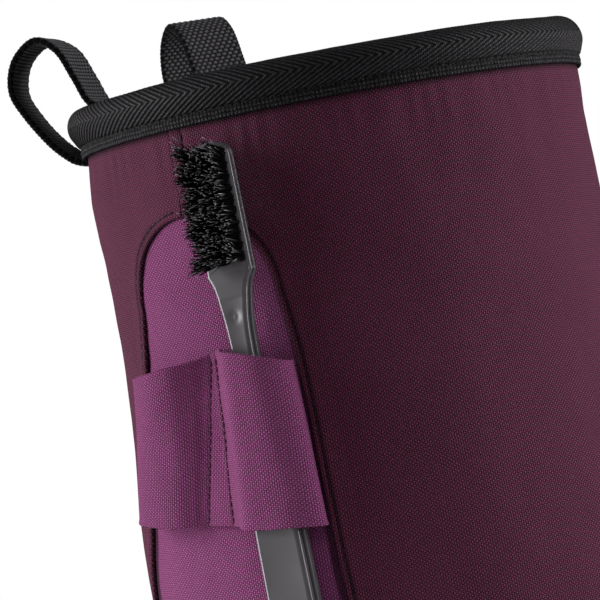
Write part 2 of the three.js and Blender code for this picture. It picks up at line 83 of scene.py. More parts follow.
FRONT_EDGE = ((0, 26), (0.27, 23.5), (0.4, 22.9), (0.63, 21.2), (0.73, 19.4))
HEM = (
    (0, -0.2), (0.22, 0.42), (0.6, 0.72), (1.1, 0.76), (1.6, 0.55), (1.9, 0.2), (2.2, 0.42),
    (2.8, 0.52), (4.5, 0.25), (7.0, 0.0),
)


def eased(rows, at):
    """Value of a table of places and values, eased between its rows."""
    if at <= rows[0][0]:
        return rows[0][1]
    for i in range(1, len(rows)):
        if at <= rows[i][0]:
            low, high = rows[i - 1], rows[i]
            before, after = rows[max(i - 2, 0)], rows[min(i + 1, len(rows) - 1)]
            span = high[0] - low[0]
            t = (at - low[0]) / span
            leave = (high[1] - before[1]) / (high[0] - before[0]) * span
            reach = (after[1] - low[1]) / (after[0] - low[0]) * span
            return (
                (2 * t**3 - 3 * t**2 + 1) * low[1] + (t**3 - 2 * t**2 + t) * leave
                + (3 * t**2 - 2 * t**3) * high[1] + (t**3 - t**2) * reach
            )
    return rows[-1][1]


def polar(radius, angle, z):
    turn = math.radians(angle)
    return Vector((radius * math.cos(turn), radius * math.sin(turn), z))


def body_radius(angle, z):
    """Outside of the wall, with its soft swells and puckers."""
    swell = 0.0
    for at, height, half_angle, half_height, out in SWELLS:
        turn = (angle - at + 540) % 360 - 180
        away = (turn / half_angle) ** 2 + ((z / WALL_TOP - height) / half_height) ** 2
        if away < 1:
            swell += out * 2 * (1 - away) ** 2
    swell *= max(0.0, min(1.0, (WALL_TOP - z) / 11.4))
    return MOUTH_RADIUS * eased(BODY_PROFILE, z / WALL_TOP) + swell


def wall_radius(angle, z):
    """The wall as it turns in under the bag."""
    if z >= BASE_CORNER:
        return body_radius(angle, z)
    turned = math.sqrt(max(0.0, BASE_CORNER**2 - (BASE_CORNER - z) ** 2))
    return body_radius(angle, BASE_CORNER) - BASE_CORNER + turned


def crumple(angle, z, size, much):
    """Slow unevenness of sewn cloth."""
    spot = polar(62, angle, z) / size
    return much * (noise.noise(spot) + 0.4 * noise.noise(spot * 2.7 + Vector((9, 4, 2))))


def edge_turn(edge, z):
    return eased(edge, z / WALL_TOP)


def per_degree(z):
    return math.radians(MOUTH_RADIUS * eased(BODY_PROFILE, z / WALL_TOP))


def patch_half(edge, z, grow=0.0):
    """Half width of the side patch in degrees, which closes over its arch."""
    wide = edge_turn(edge, min(z, SPRING)) + grow / 1.09
    if z <= SPRING:
        return wide
    rise = (z - SPRING) / (ARCH + grow)
    return wide * math.sqrt(max(0.0, 1 - rise * rise))


def from_patch(edge, turn, z):
    """Millimetres from the patch's outline, along the cloth."""
    wide = per_degree(min(z, SPRING))
    half = edge_turn(edge, min(z, SPRING)) * wide
    across = turn * wide
    if z <= SPRING:
        slope = (edge_turn(edge, z + 1.5) - edge_turn(edge, z - 1.5)) / 3 * wide
        return (across - half) / math.hypot(1, slope)
    up = z - SPRING
    ring = math.hypot(across / half, up / ARCH)
    return (ring - 1) * ring / math.hypot(across / half**2, up / ARCH**2)


ROW_HEIGHTS = [BASE_CORNER * (1 - math.cos(math.radians(15 * k))) for k in range(6)]
ROW_HEIGHTS += [BASE_CORNER + (SPRING - BASE_CORNER) * k / 78 for k in range(78)]
ROW_HEIGHTS += [SPRING + ARCH * math.sin(math.radians(90 * k / 34)) for k in range(34)]
ROW_HEIGHTS += [APEX + 8 * k / 20 for k in range(20)]
ROW_HEIGHTS += [APEX + 8 + (155.2 - APEX - 8) * k / 15 for k in range(16)]


def row_height(share):
    at = share * (len(ROW_HEIGHTS) - 1)
    low = min(int(at + 1e-6), len(ROW_HEIGHTS) - 2)
    return ROW_HEIGHTS[low] + (ROW_HEIGHTS[low + 1] - ROW_HEIGHTS[low]) * (at - low)


def panel_turn(edge, z, a):
    """Degrees from the middle of the patch to a column; the columns crowd towards the hem."""
    start = patch_half(edge, z)
    return start + (180 - start) * math.expm1(1.8 * a) / math.expm1(1.8)


def panel_point(edge, side, a, b):
    """A point of the front (side 1) or back (side -1) from the hem, a 0, to the back seam, a 1."""
    z = row_height(b)
    turn = panel_turn(edge, z, a)
    angle = 180 + side * turn
    away = from_patch(edge, turn, z)
    above = max(0.0, min(1.0, (z - APEX) / 7))
    stitch = HEM_STITCH
    if side > 0:
        if z > APEX:
            away = min(away, turn * per_degree(z))
        stitch += (SEAM_STITCH - HEM_STITCH) * above
        hem = eased(HEM, away * HEM_STITCH / stitch) * (1 - 0.35 * above)
    else:
        hem = eased(HEM, away) * (1 - 0.9 * above) - 0.25 * above
    if z < BASE_CORNER:
        hem *= z / BASE_CORNER
    seam = (180 - turn) * per_degree(z)
    hem -= 0.55 * math.exp(-((seam / 0.7) ** 2)) - 0.2 * math.exp(-(((seam - 2.2) / 1.4) ** 2))
    under_tape = max(0.0, 1 - abs(z - 148) / 9)
    pucker = 0.12 * under_tape * math.sin(turn * 1.15 + 2 * math.sin(turn * 0.31))
    out = hem + pucker + crumple(angle, z, 17, 0.22) * min(1, max(0, (WALL_TOP - z) / 8))
    # Painted shade along the back seam, the hem's stitch line and its folded edge, and on the cloth
    # under the tape.
    crease_shade = math.exp(-((seam / 0.6) ** 2))
    if side > 0 or z < APEX:
        crease_shade = max(crease_shade, math.exp(-(((away - stitch) / 0.42) ** 2)),
                     math.exp(-((away / 0.3) ** 2)))
    shade_under_tape = max(0.0, 1 - (WALL_TOP - z) / 1.6) if z < WALL_TOP else 1.0
    return polar(wall_radius(angle, z) + out, angle, z), min(1.0, max(crease_shade, shade_under_tape))


def to_piece(name, bm, *materials):
    mesh = bpy.data.meshes.new(name)
    bm.to_mesh(mesh)
    bm.free()
    for material in materials:
        mesh.materials.append(material)
    piece = bpy.data.objects.new(name, mesh)
    bpy.context.scene.collection.objects.link(piece)
    return piece


def woven_grid(name, columns, rows, place, threads, *materials):
    """Cloth from a grid: place gives a point in mm and how much painted shade it takes in a crease,
    from 0 to 1, and threads how many millimetres of yarn lie before it."""
    bm = bmesh.new()
    bmesh.ops.create_grid(bm, x_segments=columns, y_segments=rows, size=1.0)
    layer = bm.loops.layers.uv.new("threads")
    crease_shade = bm.verts.layers.float.new("crease_shade")
    shares = {v: ((v.co.x + 1) / 2, (v.co.y + 1) / 2) for v in bm.verts}
    laid = {v: threads(*share) for v, share in shares.items()}
    for face in bm.faces:
        face.smooth = True
        for loop in face.loops:
            loop[layer].uv = laid[loop.vert]
    for vert, share in shares.items():
        point, vert[crease_shade] = place(*share)
        vert.co = point * MM
    bmesh.ops.remove_doubles(bm, verts=bm.verts[:], dist=1e-6)
    return to_piece(name, bm, *materials)


def add_thickness(piece, thickness):
    wall = piece.modifiers.new("thickness", "SOLIDIFY")
    wall.thickness = thickness * MM
    wall.offset = -1


def new_material(name):
    """A material, its node tree and its shader."""
    material = bpy.data.materials.new(name)
    material.use_nodes = True
    tree = material.node_tree
    shader = tree.nodes["Principled BSDF"]
    return material, tree, shader


def node(tree, kind, values=(), **settings):
    """A node with its sockets set to values, or joined to the sockets given for them."""
    made = tree.nodes.new(kind)
    for key, value in settings.items():
        setattr(made, key, value)
    for socket, value in dict(values).items():
        if isinstance(value, bpy.types.NodeSocket):
            tree.links.new(value, made.inputs[socket])
        else:
            made.inputs[socket].default_value = value
    return made


def maths(tree, operation, *values):
    return node(tree, "ShaderNodeMath", enumerate(values), operation=operation).outputs[0]


def between(tree, share, low, high):
    """A colour between two, by a share."""
    made = node(tree, "ShaderNodeMix", {"Factor": share}, data_type="RGBA")
    for socket, value in ((6, low), (7, high)):
        if isinstance(value, bpy.types.NodeSocket):
            tree.links.new(value, made.inputs[socket])
        else:
            made.inputs[socket].default_value = (*value, 1)
    return made.outputs[2]


def build_plain_weave():
    """Threads that pass over and under each other, from millimetres of cloth; the yarn output is
    painted light on the thread tops and painted shade in the gaps, with random fuzz.
    """
    group = bpy.data.node_groups.new("plain weave", "ShaderNodeTree")
    for name, kind in (("Cloth", "NodeSocketVector"), ("Across", "NodeSocketFloat"),
                       ("Along", "NodeSocketFloat"), ("Slub", "NodeSocketFloat")):
        group.interface.new_socket(name, in_out="INPUT", socket_type=kind)
    for name in ("Height", "Lit Yarn"):
        group.interface.new_socket(name, in_out="OUTPUT", socket_type="NodeSocketFloat")
    given = node(group, "NodeGroupInput")
    loose = node(group, "ShaderNodeTexNoise", {"Vector": given.outputs["Cloth"], "Scale": 0.35,
                                                "Detail": 2.0, "Roughness": 0.5})
    drift = maths(group, "MULTIPLY", maths(group, "SUBTRACT", loose.outputs[0], 0.5),
                  given.outputs["Slub"])
    apart = node(group, "ShaderNodeSeparateXYZ", {0: given.outputs["Cloth"]})
    warp = maths(group, "DIVIDE", maths(group, "ADD", apart.outputs[0], drift),
                 given.outputs["Across"])
    weft = maths(group, "DIVIDE", maths(group, "ADD", apart.outputs[1], drift),
                 given.outputs["Along"])
    rounded = [
        maths(group, "ABSOLUTE", maths(group, "SINE", maths(group, "MULTIPLY", lane, math.pi)))
        for lane in (warp, weft)
    ]
    turn = maths(group, "PINGPONG", maths(
        group, "ADD", maths(group, "FLOOR", warp), maths(group, "FLOOR", weft)), 1.0)
    on_top = [
        maths(group, "MULTIPLY", over, maths(group, "MULTIPLY_ADD", under, 0.45, 0.55))
        for over, under in (rounded, rounded[::-1])
    ]
    height = node(group, "ShaderNodeMix", {0: turn, 2: on_top[0], 3: on_top[1]},
                  data_type="FLOAT").outputs[0]
    fuzz = node(group, "ShaderNodeTexNoise", {"Vector": given.outputs["Cloth"], "Scale": 2.6,
                                               "Detail": 2.0, "Roughness": 0.6})
    dull = maths(group, "MULTIPLY_ADD", turn, -0.5, 1.0)
    # Painted light on the thread tops and painted shade in the gaps, half as bright where the weft
    # lies on top.
    lit_yarn = maths(group, "MULTIPLY", maths(group, "MULTIPLY", height, dull),
                 maths(group, "MULTIPLY_ADD", fuzz.outputs[0], 1.1, 0.45))
    output = node(group, "NodeGroupOutput")
    group.links.new(height, output.inputs["Height"])
    group.links.new(lit_yarn, output.inputs["Lit Yarn"])
    return group


PLAIN_WEAVE = build_plain_weave()


YARN_SLUB = 0.3
YARN_WORN = 0.14


def woven_material(name, in_shade, lit, across, along, depth):
    """Cloth painted with shade in the gaps between its yarns and light on the yarns, and darker
    still in its creases. A warp thread takes up across millimetres, a weft thread along, and the
    weave stands up by depth."""
    material, tree, shader = new_material(name)
    cloth = node(tree, "ShaderNodeUVMap", uv_map="threads").outputs[0]
    weave = node(tree, "ShaderNodeGroup", node_tree=PLAIN_WEAVE)
    tree.links.new(cloth, weave.inputs["Cloth"])
    weave.inputs["Across"].default_value = across
    weave.inputs["Along"].default_value = along
    weave.inputs["Slub"].default_value = YARN_SLUB
    tone = node(tree, "ShaderNodeTexNoise", {"Vector": cloth, "Scale": 0.05, "Detail": 3.0})
    shade = maths(tree, "ADD", weave.outputs["Lit Yarn"],
                  maths(tree, "MULTIPLY", maths(tree, "SUBTRACT", tone.outputs[0], 0.5), YARN_WORN))
    shade = node(tree, "ShaderNodeClamp", {0: shade}).outputs[0]
    crease_shading = node(tree, "ShaderNodeAttribute", attribute_name="crease_shade").outputs["Fac"]
    # Creases, seams, stitch lines and the cloth under the tape are painted darker as shade.
    tree.links.new(between(tree, maths(tree, "MULTIPLY", crease_shading, 0.8),
                           between(tree, shade, in_shade, lit), [c * 0.1 for c in in_shade]),
                   shader.inputs["Base Color"])
    bump = node(tree, "ShaderNodeBump", {"Strength": 1.0, "Distance": depth * MM,
                                          "Height": weave.outputs["Height"]})
    tree.links.new(bump.outputs[0], shader.inputs["Normal"])
    shader.inputs["Roughness"].default_value = 0.72
    shader.inputs["Specular IOR Level"].default_value = 0.12
    shader.inputs["Sheen Weight"].default_value = 0.02
    shader.inputs["Sheen Roughness"].default_value = 0.45
    return material


# Shaded and lit copies of the plum yarn's colour, painted over the weave.
dark_cloth = woven_material(
    "dark plum cloth", (0.006, 0.001, 0.003), (0.24, 0.05, 0.117), 0.54, 0.47, 0.2)


def around_cloth(side, edge, a, b):
    """Millimetres of thread round the bag and up it."""
    z = row_height(b)
    return side * panel_turn(edge, z, a) * UV_DEGREE, z


front_cloth = woven_grid(
    "front_cloth", 190, len(ROW_HEIGHTS) - 1,
    lambda a, b: panel_point(FRONT_EDGE, 1, a, b),
    lambda a, b: around_cloth(1, FRONT_EDGE, a, b), dark_cloth)
back_cloth = woven_grid(
    "back_cloth", 170, len(ROW_HEIGHTS) - 1,
    lambda a, b: panel_point(BACK_EDGE, -1, 1 - a, b),
    lambda a, b: around_cloth(-1, BACK_EDGE, 1 - a, b), dark_cloth)
for piece, solid, wide in ((front_cloth, "front_panel", 0.176), (back_cloth, "back_panel", 0.166)):
    add_thickness(piece, CLOTH)
    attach(piece, "root")
    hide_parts(solid)

# Side patch. An arch of lighter purple, coarser woven polyester lies under the turned edges of
# the front and back, and carries the holder.
PATCH_UNDER = 3.0
PATCH_CLOTH = 0.6
PATCH_UV_DEGREE = 1.12
# Shaded and lit copies of the purple yarn's colour, painted over the weave.
light_cloth = woven_material(
    "light purple cloth", (0.065, 0.009, 0.038), (0.5, 0.124, 0.355), 0.6, 0.46, 0.24)


def patch_row(b):
    """Height of a row, closer together under the arch."""
    return 0.5 + (APEX + PATCH_UNDER - 0.5) * math.sin(b * math.pi / 2) ** 0.9


def patch_turn(a, z):
    back = -patch_half(BACK_EDGE, z, PATCH_UNDER)
    front = patch_half(FRONT_EDGE, z, PATCH_UNDER)
    return back + (front - back) * a


def patch_point(a, b):
    z = patch_row(b)
    angle = 180 + patch_turn(a, z)
    under = patch_half(BACK_EDGE if a < 0.5 else FRONT_EDGE, z) / per_degree(z) * 1.09
    shade = max(0.0, 1 - max(0.0, under - abs(patch_turn(a, z))) / 0.5)
    return polar(wall_radius(angle, z) - 0.35 + crumple(angle, z, 15, 0.4), angle, z), shade


side_patch = woven_grid(
    "side_patch", 110, 150, patch_point,
    lambda a, b: (patch_turn(a, patch_row(b)) * PATCH_UV_DEGREE, patch_row(b)), light_cloth)
add_thickness(side_patch, PATCH_CLOTH)
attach(side_patch, "root")
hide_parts("side_panel")

# Topstitching. Plum thread holds the turned edges beside the patch, the seam above its arch and
# the seam at the back of the bag, and sinks into the cloth.
def run_through(points, count, dense=14):
    """Evenly spaced points on a smooth line through the given ones."""
    ends = [2 * points[0] - points[1], *points, 2 * points[-1] - points[-2]]
    line = []
    for i in range(1, len(ends) - 2):
        p0, p1, p2, p3 = ends[i - 1:i + 3]
        t1 = (p1 - p0).length ** 0.5
        t2 = t1 + (p2 - p1).length ** 0.5
        t3 = t2 + (p3 - p2).length ** 0.5
        for k in range(dense):
            t = t1 + (t2 - t1) * k / dense
            a1 = p0.lerp(p1, t / t1)
            a2 = p1.lerp(p2, (t - t1) / (t2 - t1))
            a3 = p2.lerp(p3, (t - t2) / (t3 - t2))
            b1 = a1.lerp(a2, t / t2)
            b2 = a2.lerp(a3, (t - t1) / (t3 - t1))
            line.append(b1.lerp(b2, (t - t1) / (t2 - t1)))
    line.append(points[-1].copy())
    lengths = [0.0]
    for low, high in zip(line, line[1:]):
        lengths.append(lengths[-1] + (high - low).length)
    spaced, k = [], 0
    for i in range(count + 1):
        at = lengths[-1] * i / count
        while k < len(line) - 2 and lengths[k + 1] < at:
            k += 1
        step = lengths[k + 1] - lengths[k]
        spaced.append(line[k].lerp(line[k + 1], (at - lengths[k]) / step if step else 0))
    return spaced


def sew(bm, line, outward, pitch=2.2, gauge=0.27):
    """Short spindles of thread along a line of points in mm, gauge half as wide as they are."""
    length = sum((high - low).length for low, high in zip(line, line[1:]))
    spots = run_through(line, max(2, round(length / pitch)))
    for low, high in zip(spots, spots[1:]):
        middle = (low + high) / 2
        out = outward(middle)
        along = (high - low).normalized()
        aside = out.cross(along).normalized()
        out = along.cross(aside)
        tilt = shaken.uniform(-0.06, 0.06)
        along = (along + aside * tilt).normalized()
        middle += out * shaken.uniform(-0.03, 0.03)
        spindle = Matrix((aside * gauge, out * gauge * 0.8, along * pitch * 0.43)).transposed()
        place = Matrix.Translation(middle * MM) @ (spindle * MM).to_4x4()
        bmesh.ops.create_uvsphere(bm, u_segments=6, v_segments=4, radius=1.0, matrix=place)


def from_axis(point):
    """Away from the middle of the bag."""
    return Vector((point.x, point.y, 0)).normalized()


def hem_line(edge, side, top_degrees):
    """The stitches beside the patch, from the base up and over its arch."""
    line = []
    for k in range(30):
        z = 3 + (SPRING - 3) * k / 30
        turn = edge_turn(edge, z) + HEM_STITCH / per_degree(z)
        line.append(polar(wall_radius(180 + side * turn, z) + 0.42, 180 + side * turn, z))
    wide = edge_turn(edge, SPRING) * per_degree(SPRING)
    for degrees in range(0, top_degrees, 4):
        lean = math.radians(degrees)
        normal = Vector((math.cos(lean) / wide, math.sin(lean) / ARCH)).normalized()
        across = wide * math.cos(lean) + normal.x * HEM_STITCH
        z = SPRING + ARCH * math.sin(lean) + normal.y * HEM_STITCH
        turn = across / per_degree(z)
        line.append(polar(wall_radius(180 + side * turn, z) + 0.42, 180 + side * turn, z))
    return line


def thread_material(name, in_shade, lit):
    material, tree, shader = new_material(name)
    where = node(tree, "ShaderNodeTexCoord").outputs["Object"]
    twist = node(tree, "ShaderNodeTexWave", {"Vector": where, "Scale": 900.0, "Distortion": 1.5},
                 bands_direction="DIAGONAL")
    # Bands along the twist are painted between a shaded and a lit copy of the thread's colour.
    tree.links.new(between(tree, twist.outputs[1], in_shade, lit), shader.inputs["Base Color"])
    bump = node(tree, "ShaderNodeBump", {"Distance": 0.05 * MM, "Height": twist.outputs[1]})
    tree.links.new(bump.outputs[0], shader.inputs["Normal"])
    shader.inputs["Roughness"].default_value = 0.6
    shader.inputs["Specular IOR Level"].default_value = 0.2
    return material


plum_thread = thread_material("plum thread", (0.006, 0.002, 0.004), (0.026, 0.007, 0.014))
bm = bmesh.new()
front_line = hem_line(FRONT_EDGE, 1, 62)
for z in (136.5, 141, 146, 151.5):
    turn = SEAM_STITCH / per_degree(z)
    front_line.append(polar(wall_radius(180 + turn, z) + 0.3, 180 + turn, z))
sew(bm, front_line, from_axis)
sew(bm, hem_line(BACK_EDGE, -1, 86), from_axis)
sew(bm, [polar(wall_radius(357.6, z) + 0.12, 357.6, z) for z in range(8, 152, 6)], from_axis)
hem_stitching = to_piece("hem_stitching", bm, plum_thread)
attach(hem_stitching, "root")

# Lining. A cup of dark fleece that holds the chalk. It is cut as a tube and a round floor, and
# sewn in under the rim's tape.
LINING_RADIUS = 61.5
LINING_CLOTH = 0.6
LINING_TOP = 155.0
FLOOR_EDGE = 9.0
LINING_FLOOR = [(0, 3.2), (18, 3.2), (38, 3.2), (52, 3.4), (58, 5), (LINING_RADIUS, FLOOR_EDGE)]
LINING_ROWS, FLOOR_ROWS = 70, 22


def build_fleece():
    material, tree, shader = new_material("charcoal fleece")
    where = node(tree, "ShaderNodeTexCoord").outputs["Object"]
    pile = node(tree, "ShaderNodeTexNoise", {"Vector": where, "Scale": 900.0, "Detail": 4.0})
    clumps = node(tree, "ShaderNodeTexNoise", {"Vector": where, "Scale": 160.0, "Detail": 2.0})
    both = maths(tree, "MULTIPLY", pile.outputs[0], clumps.outputs[0])
    tree.links.new(between(tree, both, (0.02, 0.019, 0.022), (0.12, 0.115, 0.125)),
                   shader.inputs["Base Color"])
    bump = node(tree, "ShaderNodeBump", {"Distance": 0.9 * MM, "Height": both})
    tree.links.new(bump.outputs[0], shader.inputs["Normal"])
    shader.inputs["Roughness"].default_value = 0.95
    shader.inputs["Sheen Weight"].default_value = 0.5
    return material


def lining_point(a, b):
    """A point from the middle of the floor, b 0, to the top edge, b 1."""
    angle = 360 * (1 - a)
    row = b * LINING_ROWS
    if row < FLOOR_ROWS:
        at = row / FLOOR_ROWS * (len(LINING_FLOOR) - 1)
        low = min(int(at), len(LINING_FLOOR) - 2)
        r, z = (p + (q - p) * (at - low) for p, q in zip(LINING_FLOOR[low], LINING_FLOOR[low + 1]))
        return polar(r, angle, z), 0.0
    up = row - FLOOR_ROWS
    z = FLOOR_EDGE + (LINING_TOP - FLOOR_EDGE) * up / (LINING_ROWS - FLOOR_ROWS)
    r = body_radius(angle, z) - 1.9 + crumple(angle, z, 11, 0.35)
    return polar(LINING_RADIUS + (r - LINING_RADIUS) * min(1.0, up / 6), angle, z), 0.0


fleece_lining = woven_grid(
    "fleece_lining", 128, LINING_ROWS, lining_point, lambda a, b: (a * 395, b * 215),
    build_fleece())
add_thickness(fleece_lining, LINING_CLOTH)
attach(fleece_lining, "root")

# Base. A round of the same dark cloth, laid double and sewn to the turned-in edge of the wall,
# which stands a little hollow in its middle.
BASE_RADIUS = 60.2
BASE_THICK = 1.4


def base_point(a, b):
    angle = 360 * a
    r = BASE_RADIUS * b
    z = 0.15 + 0.9 * max(0.0, (r - 57.5) / 2.7) + 0.25 * (1 - b) * (1 - b)
    return polar(r, angle, z + 0.12 * abs(noise.noise(polar(r, angle, 3) / 13))), 0.0


base_disc = woven_grid(
    "base_disc", 120, 44, base_point, lambda a, b: polar(BASE_RADIUS * b, 360 * a, 0).xy, dark_cloth)
add_thickness(base_disc, BASE_THICK)
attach(base_disc, "root")
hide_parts("base_panel")

# Rim. A foam cord is wrapped in black herringbone tape, and sewn through along the groove beside
# the tape's knobbly edge bands, which grip the wall and the lining.
TAPE_PROFILE = [Vector(p) for p in (
    (63.25, 152.8), (63.3, 154.2), (63.35, 155.4), (64.15, 157.0), (65.0, 159.0), (64.9, 161.0),
    (63.9, 162.8), (62.3, 163.9), (60.3, 164.2), (58.3, 163.9), (56.7, 162.8), (55.7, 161.0),
    (55.6, 159.0), (56.6, 157.0), (58.6, 155.6), (59.3, 154.4), (59.3, 152.8))]
TAPE_HIDDEN = [Vector(p) for p in ((59.9, 152.8), (60.0, 155.6), (62.5, 155.6), (62.6, 152.8))]
TAPE_STEPS = 92
RIM_ROUND = 396
RIM_WAVES = ((130, 34, 0.06, 0.3), (312, 38, 0.11, -0.25), (30, 40, 0.05, 0.1), (225, 40, -0.03, 0))
RIB_HIGH = 0.24
RIB_PITCH = 0.92
RIB_LEAN = math.radians(27)
CHEVRON_AT = 7.6
BAND_HIGH = 2.7
KNOB_LONG = 1.0
KNOB_HIGH = 0.95

tape_line = run_through(TAPE_PROFILE, TAPE_STEPS)
tape_width = sum((q - p).length for p, q in zip(tape_line, tape_line[1:]))
tape_normals = []
for i, at in enumerate(tape_line):
    along = tape_line[min(i + 1, TAPE_STEPS)] - tape_line[max(i - 1, 0)]
    tape_normals.append(Vector((along.y, -along.x)).normalized())
tape_ring = tape_line + TAPE_HIDDEN + [tape_line[0]]


def twill_height(s, q):
    """Ribs of the tape at s along the rim and q across the tape, in millimetres."""
    if q < BAND_HIGH or q > tape_width - BAND_HIGH:
        knob = abs(math.sin(math.pi * s / KNOB_LONG)) * abs(math.sin(math.pi * q / KNOB_HIGH))
        return RIB_HIGH * knob
    fold = q - CHEVRON_AT if q < tape_width / 2 else tape_width - CHEVRON_AT - q
    phase = (s * math.sin(RIB_LEAN) + abs(fold) * math.cos(RIB_LEAN)) / RIB_PITCH
    return RIB_HIGH * abs(math.sin(math.pi * phase))


def tape_point(a, b):
    i = round(b * (len(tape_ring) - 1))
    angle = 360 * a
    r, z = tape_ring[i]
    groove = 1.0
    if i <= TAPE_STEPS:
        q = tape_width * i / TAPE_STEPS
        # The groove is sunk and also handed on as painted shade.
        groove = math.exp(-(((q - BAND_HIGH) / 0.3) ** 2))
        lift = twill_height(a * RIM_ROUND, q) - 0.42 * groove
        lift += 0.1 * noise.noise(polar(9, angle, z / 4))
        normal = tape_normals[i]
        r += normal.x * lift
        z += normal.y * lift
    share = max(0.0, (z - 155.6) / 8.6)
    rise = bulge = 0.0
    for at, half, up, out in RIM_WAVES:
        away = (((angle - at + 540) % 360 - 180) / half) ** 2
        if away < 1:
            rise += up * (1 - away) ** 2
            bulge += out * (1 - away) ** 2
    return polar(r * (1 + share * 2.8 * bulge / MOUTH_RADIUS), angle, z + share * 11.4 * rise), groove


def build_tape():
    """The ribs and knobs again in colour, painted light on their tops and shade between them and
    in the stitched groove, with a fine weave over them.
    """
    material, tree, shader = new_material("black twill tape")
    cloth = node(tree, "ShaderNodeUVMap", uv_map="threads").outputs[0]
    weave = node(tree, "ShaderNodeGroup", node_tree=PLAIN_WEAVE)
    tree.links.new(cloth, weave.inputs["Cloth"])
    weave.inputs["Across"].default_value = 0.46
    weave.inputs["Along"].default_value = 0.52
    weave.inputs["Slub"].default_value = 0.25
    lint = node(tree, "ShaderNodeTexNoise", {"Vector": cloth, "Scale": 1.3, "Detail": 5.0}).outputs[0]
    lit = between(tree, lint, (0.02, 0.017, 0.021), (0.1, 0.089, 0.102))
    yarns = between(tree, weave.outputs["Lit Yarn"], (0.006, 0.0055, 0.0065), lit)

    def ridges(phase):
        return maths(tree, "ABSOLUTE", maths(tree, "SINE", phase))

    def scaled(lane, factor):
        return maths(tree, "MULTIPLY", lane, factor)

    apart = node(tree, "ShaderNodeSeparateXYZ", {0: cloth})
    along, across = apart.outputs[0], apart.outputs[1]
    inward = maths(tree, "MINIMUM", across, maths(tree, "SUBTRACT", tape_width, across))
    fold = maths(tree, "ABSOLUTE", maths(tree, "SUBTRACT", inward, CHEVRON_AT))
    rib = ridges(maths(tree, "ADD", scaled(along, math.pi * math.sin(RIB_LEAN) / RIB_PITCH),
                       scaled(fold, math.pi * math.cos(RIB_LEAN) / RIB_PITCH)))
    knob = maths(tree, "MULTIPLY", ridges(scaled(along, math.pi / KNOB_LONG)),
                 ridges(scaled(inward, math.pi / KNOB_HIGH)))
    knob = maths(tree, "MULTIPLY_ADD", knob, 0.6, scaled(lint, 0.7))
    on_roll = maths(tree, "GREATER_THAN", inward, BAND_HIGH)
    relief = node(tree, "ShaderNodeMix", {0: on_roll, 2: knob, 3: rib}, data_type="FLOAT").outputs[0]
    # The groove beside the edge bands is painted dark as shade.
    groove = node(tree, "ShaderNodeAttribute", attribute_name="crease_shade").outputs["Fac"]
    lit_relief = maths(tree, "MULTIPLY", maths(tree, "POWER", relief, 1.8),
                   maths(tree, "MULTIPLY_ADD", lint, 1.6, 0.2))
    lit_relief = maths(tree, "MULTIPLY", lit_relief, maths(tree, "SUBTRACT", 1.0, groove))
    tree.links.new(between(tree, lit_relief, (0.0005, 0.0004, 0.0006), yarns),
                   shader.inputs["Base Color"])
    tree.links.new(maths(tree, "MULTIPLY_ADD", lit_relief, -0.5, 0.95), shader.inputs["Roughness"])
    height = maths(tree, "MULTIPLY_ADD", weave.outputs["Height"], 0.25, relief)
    bump = node(tree, "ShaderNodeBump", {"Strength": 1.0, "Distance": 0.3 * MM, "Height": height})
    tree.links.new(bump.outputs[0], shader.inputs["Normal"])
    shader.inputs["Specular IOR Level"].default_value = 0.16
    return material


rim_tape = woven_grid(
    "rim_tape", 880, len(tape_ring) - 1, tape_point,
    lambda a, b: (a * RIM_ROUND, b * tape_width), build_tape())
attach(rim_tape, "root")
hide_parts("rim_binding")

black_thread = thread_material("black thread", (0.006, 0.006, 0.007), (0.03, 0.029, 0.032))
bm = bmesh.new()
groove_at = run_through(TAPE_PROFILE, 200)[round(200 * BAND_HIGH / tape_width)]
for start in range(0, 360, 40):
    sew(bm, [polar(groove_at.x - 0.32, start + k * 5, groove_at.y) for k in range(9)],
        from_axis, 2.3, 0.3)
rim_stitching = to_piece("rim_stitching", bm, black_thread)
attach(rim_stitching, "root")

# Webbing loops. Each is a length of 15 mm black basket-woven webbing, sewn in under the tape
# outside and on the lining inside, and bent over the rim between.
WEBBING_WIDTH = 15.0
WEBBING_HALF = 0.7
FACE_COLUMNS = 56
WEBBING_STEPS = 500
PICK = 1.05
BUMP_PAIR = 1.66


def webbing_line(rise, reach):
    """Radius and height along the strap, from under the tape over the rim to the lining."""
    outer, top = 65.1, 164.2
    return [Vector(p) for p in (
        (62.9, 155.2), (64.1, 153.3), (outer + 0.14 * reach, 154.0),
        (outer + 0.28 * reach, 152.8 + 0.13 * rise), (outer + 0.52 * reach, 152.8 + 0.31 * rise),
        (outer + 0.84 * reach, 152.8 + 0.68 * rise), (outer + reach, top + 0.48 * rise),
        (outer + 0.86 * reach, top + 0.82 * rise), (outer + 0.48 * reach, top + rise),
        (outer + 0.14 * reach, top + 0.85 * rise), (63.76, top + 0.48 * rise),
        (61.07, 165.934 + 0.1 * rise), (57.42, 165.634), (54.15, 160.36), (54.15, 156.0),
        (58.25, 152.05), (59.1, 148.25), (59.1, 139.8))]


